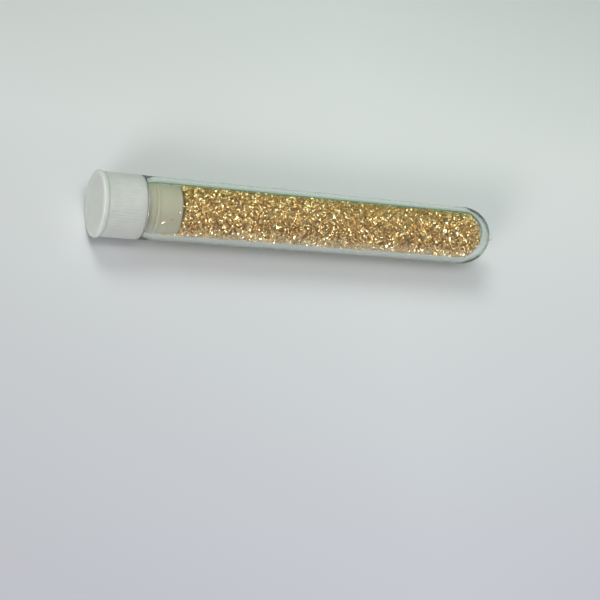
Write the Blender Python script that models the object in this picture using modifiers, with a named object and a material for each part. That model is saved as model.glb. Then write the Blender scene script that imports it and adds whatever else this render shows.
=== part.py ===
"""Gold sample vial: a clear round-bottom tube, a push-in stopper and loose gold leaf.

The vial lies on its side.  Its axis is the world X axis, the stopper is at -X and the
round bottom is at +X.  Each turned piece is drawn upright, with local +Z pointing out of
the tube's mouth and z = 0 in the plane of the tube's rim, and is then laid down.
All lengths are in metres.
"""
import math
import random

import bmesh
import bpy
from mathutils import Matrix, Vector

MM = 0.001

# Driving dimensions of the tube: a 12 x 75 mm round-bottom culture tube.
TUBE_LENGTH = 75.0 * MM
MOUTH_RADIUS = 6.0 * MM
BOTTOM_RADIUS = 5.8 * MM
WALL = 1.15 * MM
POLE_WALL = 1.5 * MM
RIM_ROUND = 0.35 * MM
GATE_RADIUS = 0.7 * MM
GATE_HEIGHT = 1.3 * MM

# Driving dimensions of the stopper.
HEAD_LENGTH = 8.5 * MM
LIP_RADIUS = 6.3 * MM
LIP_THICKNESS = 0.9 * MM
LIP_ROUND = 0.25 * MM
GRIP_RADIUS = 6.0 * MM
RIB_DEPTH = 0.14 * MM
RIB_COUNT = 66
SEAT_GAP = 0.3 * MM
COLLAR_CLEARANCE = 0.1 * MM
COLLAR_LENGTH = 2.0 * MM
SKIRT_RADIUS = 4.5 * MM
SKIRT_WALL = 0.7 * MM
PLUG_LENGTH = 7.2 * MM
END_THICKNESS = 1.6 * MM

# Driving dimensions of the gold.
BED_CLEARANCE = 0.32 * MM
BED_START = 7.7 * MM
FLAKE_THICKNESS = 0.08 * MM
FLAKE_RADIUS = 0.42 * MM
FLAKE_BEND = 0.04 * MM
SKIRT_FLAKES = 6
BORE_FLAKES = 6
FLAKE_SEED = 19

SEGMENTS = 48
ARC_STEPS = 10
MERGE = 0.01 * MM

# The origin is the middle of the whole vial, so the rim sits at this x.
RIM_X = (HEAD_LENGTH - TUBE_LENGTH - GATE_HEIGHT) / 2


def clear_scene():
    for old in list(bpy.data.objects):
        bpy.data.objects.remove(old, do_unlink=True)


def new_collection(name):
    collection = bpy.data.collections.new(name)
    bpy.context.scene.collection.children.link(collection)
    return collection


def make_material(name, colour, roughness, metallic=0.0, transmission=0.0):
    material = bpy.data.materials.new(name)
    material.use_nodes = True
    shader = material.node_tree.nodes["Principled BSDF"]
    shader.inputs["Base Color"].default_value = (*colour, 1.0)
    shader.inputs["Roughness"].default_value = roughness
    shader.inputs["Metallic"].default_value = metallic
    shader.inputs["Transmission Weight"].default_value = transmission
    return material


def add_object(name, mesh, collection, material=None):
    item = bpy.data.objects.new(name, mesh)
    collection.objects.link(item)
    if material:
        mesh.materials.append(material)
    return item


def arc(centre_z, radius, start, end, steps, centre_r=0.0):
    """Points (r, z) on a circle; angles are measured from the outward radial direction."""
    points = []
    for step in range(steps + 1):
        angle = start + (end - start) * step / steps
        points.append((centre_r + radius * math.cos(angle), centre_z + radius * math.sin(angle)))
    return points


def turned(name, profile, collection, material):
    """Turn an (r, z) profile about local Z and lay the piece down along world X."""
    mesh = bpy.data.meshes.new(name)
    points = [(max(r, 0.0), 0.0, z) for r, z in profile]
    mesh.from_pydata(points, [(i, i + 1) for i in range(len(points) - 1)], [])
    item = add_object(name, mesh, collection, material)
    screw = item.modifiers.new("turn", "SCREW")
    screw.axis = "Z"
    screw.steps = SEGMENTS
    screw.render_steps = SEGMENTS
    screw.use_merge_vertices = True
    screw.merge_threshold = MERGE
    screw.use_smooth_shade = True
    lay_down(item)
    return item


def lay_down(item):
    """Local +Z becomes world -X and the local origin moves to the centre of the rim."""
    item.rotation_euler = (0.0, -math.pi / 2, 0.0)
    item.location = (RIM_X, 0.0, 0.0)


def outer_radius(depth):
    """Tube radius at a depth below the rim: a slight draft towards the round bottom."""
    straight = TUBE_LENGTH - BOTTOM_RADIUS
    return MOUTH_RADIUS + (BOTTOM_RADIUS - MOUTH_RADIUS) * depth / straight


def bore_radius(depth):
    return outer_radius(depth) - WALL


def round_bottom(radius, pole_depth, steps=ARC_STEPS):
    """Half circle profile from the side of a round end down to its pole."""
    return arc(radius - pole_depth, radius, 0.0, -math.pi / 2, steps)


def tube_profile():
    inner_pole = TUBE_LENGTH - POLE_WALL
    inner_end = BOTTOM_RADIUS - WALL
    inner = list(reversed(round_bottom(inner_end, inner_pole)))
    mouth_bore = bore_radius(0.0)
    rim_in = arc(-RIM_ROUND, RIM_ROUND, math.pi, math.pi / 2, 2, mouth_bore + RIM_ROUND)
    rim_out = arc(-RIM_ROUND, RIM_ROUND, math.pi / 2, 0.0, 2, MOUTH_RADIUS - RIM_ROUND)
    outer = round_bottom(BOTTOM_RADIUS, TUBE_LENGTH)
    gate_foot = TUBE_LENGTH - BOTTOM_RADIUS + math.sqrt(BOTTOM_RADIUS**2 - GATE_RADIUS**2)
    gate_tip = TUBE_LENGTH + GATE_HEIGHT
    gate = [(GATE_RADIUS, -gate_foot), (GATE_RADIUS * 0.8, -gate_tip), (0.0, -gate_tip)]
    return inner + rim_in + rim_out + outer[:-1] + gate


def stopper_profile():
    """From the middle of the outer face, down the outside, and back up the hollow core."""
    lip_low = HEAD_LENGTH - LIP_THICKNESS
    core = GRIP_RADIUS - 1.5 * RIB_DEPTH
    lip_edge = arc(HEAD_LENGTH - LIP_ROUND, LIP_ROUND, math.pi / 2, 0.0, 3, LIP_RADIUS - LIP_ROUND)
    collar = bore_radius(COLLAR_LENGTH) - COLLAR_CLEARANCE
    shoulder = SEAT_GAP
    hollow = SKIRT_RADIUS - SKIRT_WALL
    outside = [
        (LIP_RADIUS, lip_low + LIP_ROUND),
        (LIP_RADIUS - LIP_ROUND, lip_low),
        (core, lip_low - LIP_ROUND / 2),
        (core, shoulder + RIM_ROUND),
        (core - RIM_ROUND, shoulder),
        (collar, shoulder),
        (collar, -COLLAR_LENGTH),
        (SKIRT_RADIUS + 0.15 * MM, -COLLAR_LENGTH - 0.5 * MM),
        (SKIRT_RADIUS, -COLLAR_LENGTH - 1.0 * MM),
        (SKIRT_RADIUS - 0.1 * MM, -PLUG_LENGTH + LIP_ROUND),
        (SKIRT_RADIUS - LIP_ROUND, -PLUG_LENGTH),
    ]
    inside = [
        (hollow + 0.1 * MM, -PLUG_LENGTH),
        (hollow, -PLUG_LENGTH + LIP_ROUND),
        (hollow - 0.2 * MM, HEAD_LENGTH - END_THICKNESS - LIP_ROUND),
        (hollow - 0.5 * MM, HEAD_LENGTH - END_THICKNESS),
        (0.0, HEAD_LENGTH - END_THICKNESS),
    ]
    return [(0.0, HEAD_LENGTH)] + lip_edge + outside + inside


def ribbed_ring(collection):
    """Prism whose outline steps between rib crests and roots; it joins the grip by a union."""
    low = SEAT_GAP + 2 * RIM_ROUND
    high = HEAD_LENGTH - LIP_THICKNESS - LIP_ROUND
    shape = bmesh.new()
    corners = []
    for index in range(2 * RIB_COUNT):
        angle = math.pi * index / RIB_COUNT
        radius = GRIP_RADIUS if index % 2 == 0 else GRIP_RADIUS - RIB_DEPTH
        corners.append(shape.verts.new((radius * math.cos(angle), radius * math.sin(angle), low)))
    base = shape.faces.new(corners)
    lifted = bmesh.ops.extrude_face_region(shape, geom=[base])
    top = [item for item in lifted["geom"] if isinstance(item, bmesh.types.BMVert)]
    bmesh.ops.translate(shape, verts=top, vec=(0.0, 0.0, high - low))
    bmesh.ops.recalc_face_normals(shape, faces=shape.faces)
    mesh = bpy.data.meshes.new("rib_ring")
    shape.to_mesh(mesh)
    shape.free()
    ring = add_object("rib_ring", mesh, collection)
    lay_down(ring)
    hide_guide(ring)
    return ring


def hide_guide(item):
    item.hide_render = True
    item.display_type = "WIRE"


def add_boolean(target, tool, operation):
    cut = target.modifiers.new(operation.lower(), "BOOLEAN")
    cut.operation = operation
    cut.solver = "EXACT"
    cut.object = tool


def make_tube(parts, material):
    return turned("tube", tube_profile(), parts, material)


def make_stopper(parts, guides, material):
    stopper = turned("stopper", stopper_profile(), parts, material)
    add_boolean(stopper, ribbed_ring(guides), "UNION")
    return stopper


def make_bed(parts, material):
    """The mass of packed leaf as one plain solid: the bore's shape, a little smaller."""
    end_radius = BOTTOM_RADIUS - WALL - BED_CLEARANCE
    pole = TUBE_LENGTH - POLE_WALL - BED_CLEARANCE
    start_radius = bore_radius(BED_START) - BED_CLEARANCE
    profile = [(0.0, -BED_START), (start_radius, -BED_START)] + round_bottom(end_radius, pole)
    return turned("gold_flake_bed", profile, parts, material)


def make_flake(name, placing, chance, parts, material):
    """One torn piece of leaf: an uneven, slightly domed six-sided plate."""
    shape = bmesh.new()
    bmesh.ops.create_circle(shape, cap_ends=True, cap_tris=True, segments=6, radius=FLAKE_RADIUS)
    for vert in shape.verts:
        reach = chance.uniform(0.7, 1.1)
        bend = chance.uniform(-FLAKE_BEND, FLAKE_BEND)
        vert.co = Vector((vert.co.x * reach, vert.co.y * reach, bend))
    mesh = bpy.data.meshes.new(name)
    shape.to_mesh(mesh)
    shape.free()
    flake = add_object(name, mesh, parts, material)
    shell = flake.modifiers.new("thickness", "SOLIDIFY")
    shell.thickness = FLAKE_THICKNESS
    shell.offset = 0.0
    flake.matrix_world = placing
    return flake


def against_wall(depth, angle, radius):
    """Placing of a flake that lies flat along the wall; 90 degrees is the top of the vial."""
    turn = Matrix.Rotation(math.radians(angle) - math.pi / 2, 4, "X")
    return Matrix.Translation((RIM_X + depth, 0.0, 0.0)) @ turn @ Matrix.Translation((0.0, 0.0, radius))


def skirt_flake_placings():
    """Leaf caught in the ring-shaped space between the stopper's skirt and the bore."""
    radius = (SKIRT_RADIUS + bore_radius(PLUG_LENGTH)) / 2
    first = COLLAR_LENGTH + 1.6 * MM
    pitch = 0.9 * MM
    return [
        against_wall(first + pitch * (index % 3), 150.0 + 38.0 * index, radius)
        for index in range(SKIRT_FLAKES)
    ]


def bore_flake_placings():
    """Leaf held between the packed mass and the bore."""
    spacing = (TUBE_LENGTH - BOTTOM_RADIUS - BED_START) / BORE_FLAKES
    placings = []
    for index in range(BORE_FLAKES):
        depth = BED_START + spacing * (index + 0.5)
        radius = bore_radius(depth) - BED_CLEARANCE / 2
        placings.append(against_wall(depth, 80.0 + 40.0 * (index * 2 % 5), radius))
    return placings


def make_flakes(parts, material):
    chance = random.Random(FLAKE_SEED)
    placings = skirt_flake_placings() + bore_flake_placings()
    for number, placing in enumerate(placings, start=1):
        make_flake(f"leaf_flake_{number:02d}", placing, chance, parts, material)


def main():
    clear_scene()
    parts = new_collection("gold_sample_vial")
    guides = new_collection("cutters")
    clear_plastic = make_material("clear_polystyrene", (0.86, 0.93, 0.90), 0.05, transmission=0.9)
    milky_plastic = make_material("natural_polyethylene", (0.74, 0.77, 0.73), 0.45)
    gold_bed = make_material("gold_leaf_bed", (0.72, 0.55, 0.25), 0.35, metallic=1.0)
    gold_leaf = make_material("gold_leaf", (0.95, 0.76, 0.38), 0.22, metallic=1.0)
    make_tube(parts, clear_plastic)
    make_stopper(parts, guides, milky_plastic)
    make_bed(parts, gold_bed)
    make_flakes(parts, gold_leaf)


main()
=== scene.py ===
"""Looks of the gold sample vial: clear tube, milky ribbed stopper and crumpled gold leaf.

The vial lies along world X with its stopper at -X.  Its ends, its outer radii and the start
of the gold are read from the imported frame; sizes that the frame's boxes do not show are named
below.  Lengths are in metres.
"""
import math

import bmesh
import bpy
import numpy as np
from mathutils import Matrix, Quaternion, Vector


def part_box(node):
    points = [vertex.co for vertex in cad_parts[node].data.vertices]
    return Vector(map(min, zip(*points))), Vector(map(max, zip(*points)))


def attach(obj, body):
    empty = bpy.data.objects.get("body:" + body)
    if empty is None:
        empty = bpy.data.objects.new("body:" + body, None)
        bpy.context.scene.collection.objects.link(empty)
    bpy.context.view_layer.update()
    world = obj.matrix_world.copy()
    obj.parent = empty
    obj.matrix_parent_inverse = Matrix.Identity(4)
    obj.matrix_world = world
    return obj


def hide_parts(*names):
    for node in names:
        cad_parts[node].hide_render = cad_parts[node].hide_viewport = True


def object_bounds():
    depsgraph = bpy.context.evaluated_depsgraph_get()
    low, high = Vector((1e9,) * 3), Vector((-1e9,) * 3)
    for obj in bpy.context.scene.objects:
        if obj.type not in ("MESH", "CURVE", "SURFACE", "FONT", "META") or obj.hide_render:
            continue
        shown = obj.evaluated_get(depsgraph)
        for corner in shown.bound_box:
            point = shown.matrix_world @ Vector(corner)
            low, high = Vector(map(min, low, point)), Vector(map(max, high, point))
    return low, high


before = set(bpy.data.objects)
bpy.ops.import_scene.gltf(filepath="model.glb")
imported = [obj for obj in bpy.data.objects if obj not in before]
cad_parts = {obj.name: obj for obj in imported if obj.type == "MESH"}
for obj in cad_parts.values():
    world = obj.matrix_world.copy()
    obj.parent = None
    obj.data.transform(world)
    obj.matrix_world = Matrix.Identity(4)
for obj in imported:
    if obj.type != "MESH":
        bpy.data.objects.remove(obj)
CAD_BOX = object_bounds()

MM = 0.001

# Places along the vial and its radius at the mouth, from the frame.
TUBE_LOW, TUBE_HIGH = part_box("tube")
STOPPER_LOW, STOPPER_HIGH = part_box("stopper")
BED_START_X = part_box("gold_flake_bed")[0].x
RIM_X = TUBE_LOW.x
TIP_X = TUBE_HIGH.x
FACE_X = STOPPER_LOW.x
PLUG_X = STOPPER_HIGH.x
MOUTH_RADIUS = TUBE_HIGH.z

# Sizes that the frame's boxes do not show.
BOTTOM_RADIUS = MOUTH_RADIUS * 5.8 / 6.0
WALL = 1.15 * MM
POLE_WALL = 1.5 * MM
GATE_HEIGHT = 1.3 * MM
GATE_RADIUS = 0.7 * MM
SEAT_GAP = 0.14 * MM
COLLAR_LENGTH = 2.0 * MM
COLLAR_CLEARANCE = 0.05 * MM
SKIRT_RADIUS = 4.5 * MM
SKIRT_WALL = 0.7 * MM
END_THICKNESS = 1.6 * MM
LIP_THICKNESS = 0.9 * MM
LIP_RADIUS = STOPPER_HIGH.z - 0.08 * MM
LIP_ROUND = 0.45 * MM
GRIP_RADIUS = MOUTH_RADIUS
RIB_COUNT = 66
RIB_DEPTH = 0.07 * MM
RIB_RISE = 0.05 * MM

POLE_X = TIP_X - GATE_HEIGHT
INNER_POLE_X = POLE_X - POLE_WALL
STRAIGHT_END_X = POLE_X - BOTTOM_RADIUS
INNER_BOTTOM_RADIUS = BOTTOM_RADIUS - WALL
INNER_STRAIGHT_END_X = INNER_POLE_X - INNER_BOTTOM_RADIUS

# How finely round shapes are divided, and the radius below which a point is on the axis.
TUBE_SEGMENTS = 192
STOPPER_SEGMENTS = RIB_COUNT * 10
BED_SEGMENTS = 72
SIDE_STEPS = 24
BALL_STEPS = 32
BOTTOM_STEPS = 47
CORNER_STEPS = 5
ON_AXIS = 1e-7


# ---------------------------------------------------------------- shape helpers

def arc(centre_x, centre_r, radius, start_deg, end_deg, steps):
    """Points (x, r) of a circular arc; 0 degrees points outward, 90 degrees points to +X."""
    angles = np.radians(np.linspace(start_deg, end_deg, steps + 1))
    return [(centre_x + radius * math.sin(a), centre_r + radius * math.cos(a)) for a in angles]


def spaced(start, end, steps):
    """Evenly spaced points between two (x, r) points, without the first one."""
    shares = [(step + 1) / steps for step in range(steps)]
    return [(start[0] + (end[0] - start[0]) * t, start[1] + (end[1] - start[1]) * t) for t in shares]


def mesh_object(name, vertices, faces, smooth=True):
    mesh = bpy.data.meshes.new(name)
    mesh.from_pydata([tuple(v) for v in vertices], [], faces)
    face_outward(mesh)
    if smooth:
        mesh.shade_smooth()
    item = bpy.data.objects.new(name, mesh)
    bpy.context.scene.collection.objects.link(item)
    return item


def face_outward(mesh):
    work = bmesh.new()
    work.from_mesh(mesh)
    bmesh.ops.recalc_face_normals(work, faces=work.faces)
    work.to_mesh(mesh)
    work.free()


def turned(name, profile, segments, swell=None, sharp_deg=32.0):
    """Turn an (x, r) profile about the X axis; swell(x, r, angles) may change the radius."""
    angles = np.linspace(0.0, 2.0 * math.pi, segments, endpoint=False)
    vertices = []
    rings = []
    for x, r in profile:
        if r < ON_AXIS:
            rings.append([len(vertices)])
            vertices.append((x, 0.0, 0.0))
            continue
        radii = swell(x, r, angles) if swell else np.full(segments, r)
        rings.append(list(range(len(vertices), len(vertices) + segments)))
        vertices.extend(zip(np.full(segments, x), radii * np.cos(angles), radii * np.sin(angles)))
    faces = []
    for near, far in zip(rings, rings[1:]):
        faces.extend(ring_faces(near, far, segments))
    item = mesh_object(name, vertices, faces)
    item.data.set_sharp_from_angle(angle=math.radians(sharp_deg))
    return item


def ring_faces(near, far, segments):
    """Faces between two neighbouring rings; a ring of one point is a pole."""
    if len(near) == 1:
        return [(near[0], far[k], far[(k + 1) % segments]) for k in range(segments)]
    if len(far) == 1:
        return [(near[k], far[0], near[(k + 1) % segments]) for k in range(segments)]
    pairs = [(k, (k + 1) % segments) for k in range(segments)]
    return [(near[a], far[a], far[b], near[b]) for a, b in pairs]


def outer_radius(x):
    """Radius of the tube's drafted outside at x, for numbers or arrays."""
    share = (x - RIM_X) / (STRAIGHT_END_X - RIM_X)
    return MOUTH_RADIUS + (BOTTOM_RADIUS - MOUTH_RADIUS) * share


def bore_radius(x):
    """Radius of the bore at x, for numbers or arrays, closing over the round bottom."""
    straight = outer_radius(x) - WALL
    past = np.clip(x - INNER_STRAIGHT_END_X, 0.0, INNER_BOTTOM_RADIUS)
    ball = np.sqrt(np.maximum(INNER_BOTTOM_RADIUS**2 - past**2, 0.0))
    return np.where(x > INNER_STRAIGHT_END_X, ball, straight)


# ---------------------------------------------------------------- node helpers

class Graph:
    """A material's node tree with short calls to add and join nodes."""

    def __init__(self, name):
        self.material = bpy.data.materials.new(name)
        self.material.use_nodes = True
        self.tree = self.material.node_tree
        self.shader = self.tree.nodes["Principled BSDF"]
        self.output = self.tree.nodes["Material Output"]

    def add(self, kind, **settings):
        node = self.tree.nodes.new(kind)
        for key, value in settings.items():
            setattr(node, key, value)
        return node

    def join(self, source, target):
        self.tree.links.new(source, target)

    def set(self, **values):
        for key, value in values.items():
            self.shader.inputs[key.replace("_", " ")].default_value = value

    def noise(self, scale, detail=3.0, vector=None):
        node = self.add("ShaderNodeTexNoise")
        node.inputs["Scale"].default_value = scale
        node.inputs["Detail"].default_value = detail
        self.join(vector or self.object_space(), node.inputs["Vector"])
        return node.outputs["Fac"]

    def object_space(self, stretch=(1.0, 1.0, 1.0)):
        place = self.add("ShaderNodeTexCoord")
        mapping = self.add("ShaderNodeMapping")
        mapping.inputs["Scale"].default_value = stretch
        self.join(place.outputs["Object"], mapping.inputs["Vector"])
        return mapping.outputs["Vector"]

    def ramp(self, factor, *stops):
        """Colour ramp from (position, colour) stops."""
        node = self.add("ShaderNodeValToRGB")
        elements = node.color_ramp.elements
        while len(elements) < len(stops):
            elements.new(0.5)
        for element, (position, colour) in zip(elements, stops):
            element.position = position
            element.color = (*colour, 1.0)
        self.join(factor, node.inputs["Fac"])
        return node.outputs["Color"]

    def span(self, factor, low, high):
        """Map a 0 to 1 value to a range."""
        node = self.add("ShaderNodeMapRange")
        node.inputs["To Min"].default_value = low
        node.inputs["To Max"].default_value = high
        self.join(factor, node.inputs["Value"])
        return node.outputs["Result"]

    def between(self, value, low, high):
        """0 where the value is low, 1 where it is high."""
        node = self.add("ShaderNodeMapRange")
        node.inputs["From Min"].default_value = low
        node.inputs["From Max"].default_value = high
        self.join(value, node.inputs["Value"])
        return node.outputs["Result"]

    def blend(self, factor, first, colour):
        """From a colour output to a plain colour."""
        node = self.add("ShaderNodeMix", data_type="RGBA")
        self.join(factor, node.inputs["Factor"])
        self.join(first, node.inputs["A"])
        node.inputs["B"].default_value = (*colour, 1.0)
        return node.outputs["Result"]

    def multiply(self, first, second):
        node = self.add("ShaderNodeMix", data_type="RGBA", blend_type="MULTIPLY")
        node.inputs["Factor"].default_value = 1.0
        self.join(first, node.inputs["A"])
        self.join(second, node.inputs["B"])
        return node.outputs["Result"]

    def position(self, axis):
        split = self.add("ShaderNodeSeparateXYZ")
        self.join(self.object_space(), split.inputs["Vector"])
        return split.outputs[axis]

    def bump(self, height, distance, strength=1.0):
        node = self.add("ShaderNodeBump")
        node.inputs["Distance"].default_value = distance
        node.inputs["Strength"].default_value = strength
        self.join(height, node.inputs["Height"])
        self.join(node.outputs["Normal"], self.shader.inputs["Normal"])


# ---------------------------------------------------------------- materials

def clear_polystyrene():
    """Clear moulded plastic; lamps reach the gold through it instead of being lost."""
    g = Graph("clear_polystyrene")
    g.set(Base_Color=(0.955, 0.985, 0.97, 1.0), IOR=1.59, Transmission_Weight=1.0)
    flow = g.noise(260.0, 4.0, g.object_space((0.25, 1.0, 1.0)))
    g.join(g.span(flow, 0.0, 0.005), g.shader.inputs["Roughness"])
    g.bump(flow, 0.01 * MM, 0.1)
    tint = g.add("ShaderNodeVolumeAbsorption")
    tint.inputs["Color"].default_value = (0.50, 0.66, 0.46, 1.0)
    tint.inputs["Density"].default_value = 75.0
    g.join(tint.outputs["Volume"], g.output.inputs["Volume"])
    let_light_through(g)
    return g.material


def let_light_through(g):
    """Shadow and diffuse rays pass straight through, dimmed where the wall is seen edge on."""
    rays = g.add("ShaderNodeLightPath")
    edge = g.add("ShaderNodeLayerWeight")
    edge.inputs["Blend"].default_value = 0.35
    shade = g.ramp(edge.outputs["Facing"], (0.0, (0.93, 0.95, 0.94)), (1.0, (0.55, 0.60, 0.57)))
    through = g.add("ShaderNodeBsdfTransparent")
    g.join(shade, through.inputs["Color"])
    either = g.add("ShaderNodeMath", operation="MAXIMUM")
    g.join(rays.outputs["Is Shadow Ray"], either.inputs[0])
    g.join(rays.outputs["Is Diffuse Ray"], either.inputs[1])
    mix = g.add("ShaderNodeMixShader")
    g.join(either.outputs["Value"], mix.inputs["Fac"])
    g.join(g.shader.outputs["BSDF"], mix.inputs[1])
    g.join(through.outputs["BSDF"], mix.inputs[2])
    g.join(mix.outputs["Shader"], g.output.inputs["Surface"])


def natural_polyethylene():
    """Milky, slightly translucent plastic; the part in the tube has a painted tan cast of the gold's
    light, and its tip a darker painted shadow.
    """
    g = Graph("natural_polyethylene")
    g.set(IOR=1.51, Subsurface_Weight=0.9, Subsurface_Radius=(1.0, 1.0, 0.9))
    g.set(Subsurface_Scale=2.4 * MM, Transmission_Weight=0.18, Specular_IOR_Level=0.22)
    cloud = g.noise(420.0, 3.0)
    milk = g.ramp(cloud, (0.35, (0.60, 0.64, 0.60)), (0.65, (0.64, 0.68, 0.64)))
    along = g.position("X")
    # Painted light: from the mouth inward the milk turns tan, standing in for light from the gold
    # shining through.
    in_mouth = g.between(along, RIM_X - 0.4 * MM, RIM_X + COLLAR_LENGTH - 0.4 * MM)
    shadowed_tip = g.between(along, PLUG_X - 0.45 * MM, PLUG_X - 0.15 * MM)
    gold_lit_milk = g.blend(in_mouth, milk, (0.80, 0.70, 0.54))
    # Painted shadow: a dark brown ring at the skirt's tip.
    g.join(g.blend(shadowed_tip, gold_lit_milk, (0.30, 0.25, 0.15)), g.shader.inputs["Base Color"])
    grain = g.noise(6000.0, 2.0)
    g.join(g.span(grain, 0.42, 0.56), g.shader.inputs["Roughness"])
    g.bump(grain, 0.01 * MM, 0.4)
    return g.material


def gold_leaf(name, low, high, rough_low, rough_high):
    """Metal leaf whose colour and polish vary from place to place."""
    g = Graph(name)
    g.set(Metallic=1.0)
    patch = g.noise(900.0, 2.0)
    g.join(g.ramp(patch, (0.3, low), (0.7, high)), g.shader.inputs["Base Color"])
    fine = g.noise(5200.0, 2.0)
    g.join(g.span(fine, rough_low, rough_high), g.shader.inputs["Roughness"])
    g.bump(fine, 0.03 * MM, 0.6)
    return g.material


def frosted_polystyrene():
    """The tube's matt rim and snapped gate, where the plastic is whitened and uneven."""
    g = Graph("frosted_polystyrene")
    g.set(Base_Color=(0.90, 0.89, 0.85, 1.0), IOR=1.59, Transmission_Weight=0.25)
    chips = g.noise(3600.0, 2.0)
    g.join(g.span(chips, 0.05, 0.35), g.shader.inputs["Roughness"])
    g.bump(chips, 0.1 * MM, 0.9)
    return g.material


# ---------------------------------------------------------------- the tube

def tube_profile():
    """From the pole of the bore, out along the bore, over the rim and back to the gate."""
    rim_round = 0.17 * MM
    rim_steps = 8
    bore_mouth = float(bore_radius(RIM_X))
    ball = arc(INNER_STRAIGHT_END_X, 0.0, INNER_BOTTOM_RADIUS, 90, 0, BALL_STEPS)
    bore = spaced(ball[-1], (RIM_X + rim_round, bore_mouth), SIDE_STEPS)
    rim_in = arc(RIM_X + rim_round, bore_mouth + rim_round, rim_round, 180, 270, rim_steps)
    rim_out = arc(RIM_X + rim_round, MOUTH_RADIUS - rim_round, rim_round, -90, 0, rim_steps)
    side = spaced(rim_out[-1], (STRAIGHT_END_X, BOTTOM_RADIUS), SIDE_STEPS)
    return ball + bore + rim_in[1:] + rim_out + side[:-1] + bottom_profile()


def bottom_profile():
    """The outer round bottom, then the flared stub of the gate and its snapped, uneven end."""
    foot_deg = math.degrees(math.acos((GATE_RADIUS + 0.15 * MM) / BOTTOM_RADIUS))
    base_x = POLE_X - 0.03 * MM
    points = arc(STRAIGHT_END_X, 0.0, BOTTOM_RADIUS, 0, foot_deg, BOTTOM_STEPS)
    points += [(base_x, GATE_RADIUS), (base_x + 0.15 * MM, GATE_RADIUS * 0.95)]
    points += spaced(points[-1], (TIP_X - 0.30 * MM, GATE_RADIUS * 1.15), 4)
    # Depth below the tip in mm, and share of the gate's radius, from the edge to the middle.
    snapped_end = ((0.06, 1.05), (0.01, 0.8), (0.16, 0.5), (0.04, 0.25), (0.10, 0.0))
    points += [(TIP_X - depth * MM, GATE_RADIUS * share) for depth, share in snapped_end]
    return points


def torn_gate(x, r, angles):
    """The gate is snapped off by hand, so its stub is not round."""
    if x < POLE_X:
        return np.full(len(angles), r)
    broad_chips = 0.13 * np.abs(np.sin(2 * angles + 0.6))
    small_chips = 0.08 * np.abs(np.sin(6 * angles + 3 * x / MM))
    return r * (1.0 - broad_chips - small_chips)


def make_tube():
    tube = turned("clear_tube", tube_profile(), TUBE_SEGMENTS, torn_gate, sharp_deg=40.0)
    tube.data.materials.append(clear_polystyrene())
    tube.data.materials.append(frosted_polystyrene())
    rim_end_x = RIM_X + 0.03 * MM
    for face in tube.data.polygons:
        x = face.center.x
        face.material_index = int(x < rim_end_x or x > POLE_X)
    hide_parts("tube")
    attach(tube, "vial")


# ---------------------------------------------------------------- the stopper

RIB_START_X = FACE_X + LIP_THICKNESS + 0.5 * MM
RIB_END_X = RIM_X - SEAT_GAP - 0.35 * MM


def stopper_profile():
    """From the middle of the hollow core, along the skirt and grip, to the outer face."""
    neck_x = RIM_X - SEAT_GAP
    grip = GRIP_RADIUS - RIB_RISE
    return hollow_core() + skirt_and_collar(neck_x, grip) + grip_and_lip(neck_x, grip) + end_face()


def hollow_core():
    """The closed end of the hollow, its side and the inner half of the skirt's round end."""
    hollow = SKIRT_RADIUS - SKIRT_WALL
    core_x = FACE_X + END_THICKNESS
    corner = 0.6 * MM
    half_wall = SKIRT_WALL / 2
    shape = [(core_x, 0.0)] + spaced((core_x, 0.0), (core_x, hollow - 0.9 * MM), 4)
    shape += arc(core_x + corner, hollow - 0.8 * MM, corner, -90, 0, 6)[1:]
    shape += spaced(shape[-1], (PLUG_X - 0.4 * MM, hollow), 20)
    return shape + arc(PLUG_X - half_wall, hollow + half_wall, half_wall, 180, 90, CORNER_STEPS)[1:]


def skirt_and_collar(neck_x, grip):
    """The skirt's side, the full-bore collar and the step up to the grip."""
    collar_x = RIM_X + COLLAR_LENGTH
    collar = float(bore_radius(collar_x)) - COLLAR_CLEARANCE
    corner = 0.3 * MM
    half_wall = SKIRT_WALL / 2
    skirt_foot = collar_x + 0.7 * MM
    shape = arc(PLUG_X - half_wall, SKIRT_RADIUS - half_wall, half_wall, 90, 0, CORNER_STEPS)
    shape += spaced(shape[-1], (skirt_foot, SKIRT_RADIUS + 0.12 * MM), 14)
    shape += [(skirt_foot - 0.3 * MM, SKIRT_RADIUS + 0.3 * MM)]
    shape += arc(collar_x - corner, collar - corner, corner, 90, 0, CORNER_STEPS)
    shape += spaced(shape[-1], (neck_x + 0.1 * MM, collar), 8)
    return shape + [(neck_x, collar + 0.1 * MM), (neck_x, grip - 0.2 * MM)]


def grip_and_lip(neck_x, grip):
    """The grip, a soft rise to the lip, and the lip's rounded outer edge."""
    corner = 0.10 * MM
    rise_start = FACE_X + LIP_THICKNESS + 0.40 * MM
    rise_length = 0.55 * MM
    shape = arc(neck_x - corner, grip - corner, corner, 90, 0, CORNER_STEPS)
    shape += spaced(shape[-1], (rise_start, grip), 30)
    for share in np.linspace(0.1, 1.0, 10):
        rise = (1.0 - math.cos(math.pi * share)) / 2
        shape.append((rise_start - rise_length * share, grip + (LIP_RADIUS - grip) * rise))
    return shape + arc(FACE_X + LIP_ROUND, LIP_RADIUS - LIP_ROUND, LIP_ROUND, 0, -90, 12)


def end_face():
    """Flat, with a shallow moulding mark in the middle."""
    flat = spaced((FACE_X, LIP_RADIUS - LIP_ROUND), (FACE_X, 0.7 * MM), 8)
    # Depth below the face and radius, both in mm.
    mark = ((0.05, 0.55), (0.02, 0.3), (0.04, 0.0))
    return flat + [(FACE_X + depth * MM, radius * MM) for depth, radius in mark]


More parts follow.
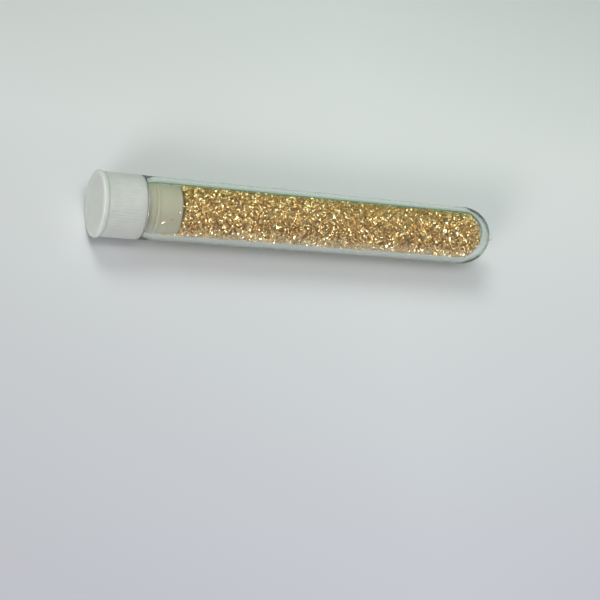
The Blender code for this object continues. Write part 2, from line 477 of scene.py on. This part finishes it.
def ribs(x, r, angles):
    """Fine axial ribs on the grip, fading out at both ends."""
    on_grip = RIB_START_X < x < RIB_END_X and r > GRIP_RADIUS - 0.2 * MM
    if not on_grip:
        return np.full(len(angles), r)
    fade_at_lip = (x - RIB_START_X) / (0.4 * MM)
    fade_at_mouth = (RIB_END_X - x) / (0.25 * MM)
    fade = min(1.0, fade_at_lip, fade_at_mouth)
    wave = np.abs(np.cos(angles * RIB_COUNT / 2)) ** 0.8
    return r + RIB_RISE - RIB_DEPTH * fade * (1.0 - wave)


def make_stopper():
    stopper = turned("ribbed_stopper", stopper_profile(), STOPPER_SEGMENTS, ribs, sharp_deg=50.0)
    stopper.data.materials.append(natural_polyethylene())
    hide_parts("stopper")
    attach(stopper, "stopper")


# ---------------------------------------------------------------- the gold

LEAF_RANDOM = np.random.default_rng(1107)
LEAF_HALF_THICKNESS = 0.014 * MM
LAYER_GAP = 0.03 * MM
LOOSE_GAP = 0.04 * MM
LAYER_COUNT = 3
LAYER_LEAVES = 11500
LAYER_DEPTH = 0.74 * MM
LAYER_RADII_MM = (0.14, 0.20, 0.26, 0.36)
LAYER_RADII_SHARES = (0.26, 0.38, 0.26, 0.10)
STRAY_COUNT = 300


def wall_depth(points):
    """How far points lie inside the bore's wall."""
    reach = np.hypot(points[:, 1], points[:, 2])
    side = bore_radius(points[:, 0]) - reach
    past = np.maximum(points[:, 0] - INNER_STRAIGHT_END_X, 0.0)
    ball = INNER_BOTTOM_RADIUS - np.hypot(past, reach)
    return np.where(past > 0.0, ball, side)


def bed_shell_points(count, thickness):
    """Random points in the outer layer of the bed, where leaf can be seen."""
    found = []
    total = 0
    low = np.array((BED_START_X - 0.25 * MM, -MOUTH_RADIUS, -MOUTH_RADIUS))
    high = np.array((INNER_POLE_X, MOUTH_RADIUS, MOUTH_RADIUS))
    while total < count:
        points = LEAF_RANDOM.uniform(low, high, (count * 4, 3))
        depth = wall_depth(points)
        past_start = points[:, 0] - low[0]
        shallow = np.minimum(depth, past_start) < thickness
        kept = points[(depth > LAYER_GAP) & shallow]
        found.append(kept)
        total += len(kept)
    return np.concatenate(found)[:count]


def random_turns(count):
    """Random rotation matrices, one per flake."""
    quats = LEAF_RANDOM.normal(size=(count, 4))
    quats /= np.linalg.norm(quats, axis=1, keepdims=True)
    w, x, y, z = quats.T
    rows = [
        [1 - 2 * (y * y + z * z), 2 * (x * y - z * w), 2 * (x * z + y * w)],
        [2 * (x * y + z * w), 1 - 2 * (x * x + z * z), 2 * (y * z - x * w)],
        [2 * (x * z - y * w), 2 * (y * z + x * w), 1 - 2 * (x * x + y * y)],
    ]
    return np.moveaxis(np.array(rows), 2, 0)


def crumpled_leaves(centres, radii, corners, crumple):
    """Thin closed flakes: an uneven folded outline with a middle point on each side."""
    count = len(centres)
    step = 2 * math.pi / corners
    angles = np.arange(corners) * step + LEAF_RANDOM.uniform(-0.3, 0.3, (count, corners)) * step
    reach = LEAF_RANDOM.uniform(0.55, 1.15, (count, corners)) * radii[:, None]
    heights = LEAF_RANDOM.normal(0.0, crumple, (count, corners)) * radii[:, None]
    stretch = LEAF_RANDOM.uniform(1.0, 1.7, (count, 1))
    across = reach * np.cos(angles) * stretch
    along = reach * np.sin(angles) / stretch
    outline = np.stack((across, along, heights), axis=2)
    middle = LEAF_RANDOM.normal(0.0, crumple * 0.6, (count, 1)) * radii[:, None]
    zero = np.zeros((count, 1))
    top = np.stack((zero, zero, middle + LEAF_HALF_THICKNESS), axis=2)
    under = np.stack((zero, zero, middle - LEAF_HALF_THICKNESS), axis=2)
    flat = np.concatenate((outline, top, under), axis=1)
    return np.einsum("nij,nkj->nki", random_turns(count), flat) + centres[:, None, :]


def leaf_faces(count, corners):
    """Triangles of all flakes: from each one's outline to its upper and its lower middle."""
    size = corners + 2
    ring = np.arange(corners)
    following = (ring + 1) % corners
    top = np.stack((ring, following, np.full(corners, corners)), axis=1)
    under = np.stack((following, ring, np.full(corners, corners + 1)), axis=1)
    one = np.concatenate((top, under))
    first_vertices = np.arange(count) * size
    return (one[None, :, :] + first_vertices[:, None, None]).reshape(-1, 3)


def press_inside(points, clearance):
    """Push vertices that come nearer the bore's wall than the clearance back inward."""
    flat = points.reshape(-1, 3).copy()
    past = np.maximum(flat[:, 0] - INNER_STRAIGHT_END_X, 0.0)
    reach = np.hypot(flat[:, 1], flat[:, 2])
    limit = np.where(past > 0.0, INNER_BOTTOM_RADIUS, outer_radius(flat[:, 0]) - WALL) - clearance
    distance = np.where(past > 0.0, np.hypot(past, reach), reach)
    scale = np.minimum(1.0, limit / np.maximum(distance, ON_AXIS))
    flat[:, 1] *= scale
    flat[:, 2] *= scale
    flat[:, 0] = np.where(past > 0.0, INNER_STRAIGHT_END_X + past * scale, flat[:, 0])
    return flat.reshape(points.shape)


def leaf_object(name, leaves, materials):
    """One object from an array of flakes; each flake gets one of the materials."""
    count = leaves.shape[0]
    corners = leaves.shape[1] - 2
    faces = leaf_faces(count, corners).tolist()
    item = mesh_object(name, leaves.reshape(-1, 3), faces, smooth=False)
    for material in materials:
        item.data.materials.append(material)
    per_flake = LEAF_RANDOM.integers(0, len(materials), count)
    per_face = np.repeat(per_flake, 2 * corners).astype(np.int32)
    item.data.polygons.foreach_set("material_index", per_face)
    item.data.update()
    return item


def make_bed_core(material):
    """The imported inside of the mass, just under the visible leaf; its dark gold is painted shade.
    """
    inset = 0.75 * MM
    lump = 0.06 * MM
    start_x = BED_START_X + 0.45 * MM
    stations = np.linspace(start_x, INNER_STRAIGHT_END_X, 120)
    side = [(x, float(bore_radius(x)) - inset) for x in stations]
    rounded = arc(INNER_STRAIGHT_END_X, 0.0, INNER_BOTTOM_RADIUS - inset, 0, 90, 16)
    core = turned("packed_leaf", [(start_x, 0.0)] + side + rounded[1:], BED_SEGMENTS)
    places = np.array([vertex.co for vertex in core.data.vertices])
    places += LEAF_RANDOM.normal(0.0, lump, places.shape)
    core.data.vertices.foreach_set("co", places.astype(np.float32).ravel())
    core.data.materials.append(material)
    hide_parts("gold_flake_bed")
    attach(core, "vial")


def make_bed_leaves(materials):
    """The visible layer of leaf, in pieces of like size."""
    for number in range(LAYER_COUNT):
        centres = bed_shell_points(LAYER_LEAVES, LAYER_DEPTH)
        radii = LEAF_RANDOM.choice(LAYER_RADII_MM, LAYER_LEAVES, p=LAYER_RADII_SHARES) * MM
        leaves = crumpled_leaves(centres, radii, corners=6, crumple=0.26)
        layer = leaf_object(f"leaf_layer_{number + 1}", press_inside(leaves, LAYER_GAP), materials)
        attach(layer, "vial")


def stray_points(count):
    """Leaf in the ring-shaped space round the skirt, thick at the bottom, thin at the top."""
    start_x = RIM_X + COLLAR_LENGTH + 0.9 * MM
    end_x = BED_START_X + 0.3 * MM
    innermost = SKIRT_RADIUS + 0.15 * MM
    outermost = float(bore_radius(PLUG_X)) - 0.08 * MM
    x = start_x + LEAF_RANDOM.beta(1.6, 1.0, count) * (end_x - start_x)
    angle = np.radians(LEAF_RANDOM.normal(-105.0, 48.0, count))
    reach = LEAF_RANDOM.uniform(innermost, outermost, count)
    return np.stack((x, reach * np.cos(angle), reach * np.sin(angle)), axis=1)


def make_strays(materials):
    centres = stray_points(STRAY_COUNT)
    radii = LEAF_RANDOM.uniform(0.12, 0.36, STRAY_COUNT) * MM
    leaves = crumpled_leaves(centres, radii, corners=7, crumple=0.34)
    strays = leaf_object("stray_leaf", press_inside(leaves, LOOSE_GAP), materials)
    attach(strays, "vial")


def make_single_flakes(materials):
    """One crumpled piece for each separate flake of the frame."""
    names = sorted(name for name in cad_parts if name.startswith("leaf_flake"))
    for number, name in enumerate(names):
        low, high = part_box(name)
        centre = np.array([(low + high) / 2])
        radius = np.array([max(high - low) * 0.55])
        leaf = press_inside(crumpled_leaves(centre, radius, corners=9, crumple=0.26), LOOSE_GAP)
        material = materials[number % len(materials)]
        flake = leaf_object(f"loose_leaf_{number + 1:02d}", leaf, [material])
        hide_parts(name)
        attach(flake, "vial")


def make_gold():
    bright = gold_leaf("bright_leaf", (1.0, 0.82, 0.42), (1.0, 0.94, 0.68), 0.10, 0.24)
    warm = gold_leaf("warm_leaf", (0.98, 0.70, 0.36), (1.0, 0.83, 0.50), 0.14, 0.32)
    deep = gold_leaf("deep_leaf", (0.80, 0.56, 0.22), (0.96, 0.74, 0.37), 0.18, 0.38)
    # Painted shade: the core's dark gold stands in for the shade deep in the mass.
    shade = gold_leaf("painted_shade_gold", (0.30, 0.19, 0.06), (0.50, 0.34, 0.14), 0.35, 0.6)
    leaves = [bright, warm, deep]
    make_bed_core(shade)
    make_bed_leaves(leaves)
    make_strays(leaves)
    make_single_flakes(leaves)


# ---------------------------------------------------------------- stage, light and camera

def floor_material():
    """Pale table with painted light: lavender grey near the camera and a painted shade at its left.

    Its far side turns dark green, a painted green cast; the side of the tube mirrors that as a thin
    green line.
    """
    g = Graph("pale_table")
    g.set(Roughness=0.32)
    # Painted light and shade: these tones stand in for the room's light falling unevenly on the
    # table.
    near, middle = (0.56, 0.575, 0.64), (0.71, 0.755, 0.745)
    far, edge = (0.43, 0.495, 0.46), (0.08, 0.14, 0.05)
    left, right = (0.68, 0.66, 0.67), (1.0, 1.0, 1.0)
    depth = g.between(g.position("Y"), -0.10, 0.30)
    tone = g.ramp(depth, (0.05, near), (0.31, middle), (0.58, far), (0.68, edge))
    across = g.between(g.position("X"), -0.14, 0.02)
    shade = g.ramp(across, (0.0, left), (1.0, right))
    g.join(g.multiply(tone, shade), g.shader.inputs["Base Color"])
    return g.material


def make_floor():
    size = 240 * MOUTH_RADIUS
    bpy.ops.mesh.primitive_plane_add(size=size, location=(0.0, 0.0, CAD_BOX[0].z))
    floor = bpy.context.active_object
    floor.name = "table"
    floor.data.materials.append(floor_material())


def area_light(name, place, target, size, power, colour):
    lamp = bpy.data.lights.new(name, "AREA")
    lamp.shape = "RECTANGLE"
    lamp.size, lamp.size_y = size
    lamp.energy = power
    lamp.color = colour
    item = bpy.data.objects.new(name, lamp)
    bpy.context.scene.collection.objects.link(item)
    item.location = place
    item.rotation_euler = (Vector(target) - Vector(place)).to_track_quat("-Z", "Y").to_euler()


def make_lights():
    middle = (0.0, 0.0, 0.0)
    area_light("window", (-0.28, 0.46, 0.72), middle, (0.36, 0.36), 3.1, (0.97, 1.0, 0.98))
    area_light("ceiling", (-0.12, -0.16, 0.88), middle, (0.32, 0.32), 2.8, (1.0, 0.98, 0.96))
    area_light("near_fill", (-0.58, -0.54, 0.34), middle, (0.30, 0.24), 3.9, (1.0, 0.92, 0.93))


def make_world():
    """Soft room light: pinkish behind the camera, green beyond the far side of the table."""
    world = bpy.data.worlds.new("soft_room")
    world.use_nodes = True
    tree = world.node_tree
    place = tree.nodes.new("ShaderNodeTexCoord")
    split = tree.nodes.new("ShaderNodeSeparateXYZ")
    side = tree.nodes.new("ShaderNodeMapRange")
    ramp = tree.nodes.new("ShaderNodeValToRGB")
    pinkish, pale, green = (0.90, 0.84, 0.92, 1.0), (0.80, 0.88, 0.86, 1.0), (0.14, 0.46, 0.14, 1.0)
    side.inputs["From Min"].default_value = -1.0
    ramp.color_ramp.elements[0].color = pinkish
    ramp.color_ramp.elements[1].color = green
    ramp.color_ramp.elements.new(0.6).color = pale
    tree.links.new(place.outputs["Generated"], split.inputs["Vector"])
    tree.links.new(split.outputs["Y"], side.inputs["Value"])
    tree.links.new(side.outputs["Result"], ramp.inputs["Fac"])
    sky = tree.nodes["Background"]
    tree.links.new(ramp.outputs["Color"], sky.inputs["Color"])
    sky.inputs["Strength"].default_value = 0.30
    bpy.context.scene.world = world


def make_camera():
    """Steep view from the stopper's side, with the vial's far end turned to the right."""
    place = Vector((RIM_X - 88.4 * MM, -138.2 * MM, 225.6 * MM))
    look = Vector((0.4204, 0.4286, -0.7997))
    roll = math.radians(41.7)
    lens = bpy.data.cameras.new("camera")
    lens.lens = 90.0
    lens.sensor_width = 36.0
    lens.clip_start = 0.005
    camera = bpy.data.objects.new("camera", lens)
    bpy.context.scene.collection.objects.link(camera)
    camera.location = place
    camera.rotation_mode = "QUATERNION"
    camera.rotation_quaternion = look.to_track_quat("-Z", "Y") @ Quaternion((0.0, 0.0, 1.0), roll)
    bpy.context.scene.camera = camera


def set_tones():
    """Plain tones, and enough bounces for light to cross the clear wall and the leaf."""
    scene = bpy.context.scene
    scene.view_settings.view_transform = "Standard"
    scene.view_settings.look = "None"
    scene.cycles.max_bounces = 16
    scene.cycles.transmission_bounces = 12
    scene.cycles.glossy_bounces = 6
    scene.cycles.transparent_max_bounces = 16
    scene.cycles.caustics_refractive = True


make_tube()
make_stopper()
make_gold()
make_floor()
make_lights()
make_world()
make_camera()
set_tones()
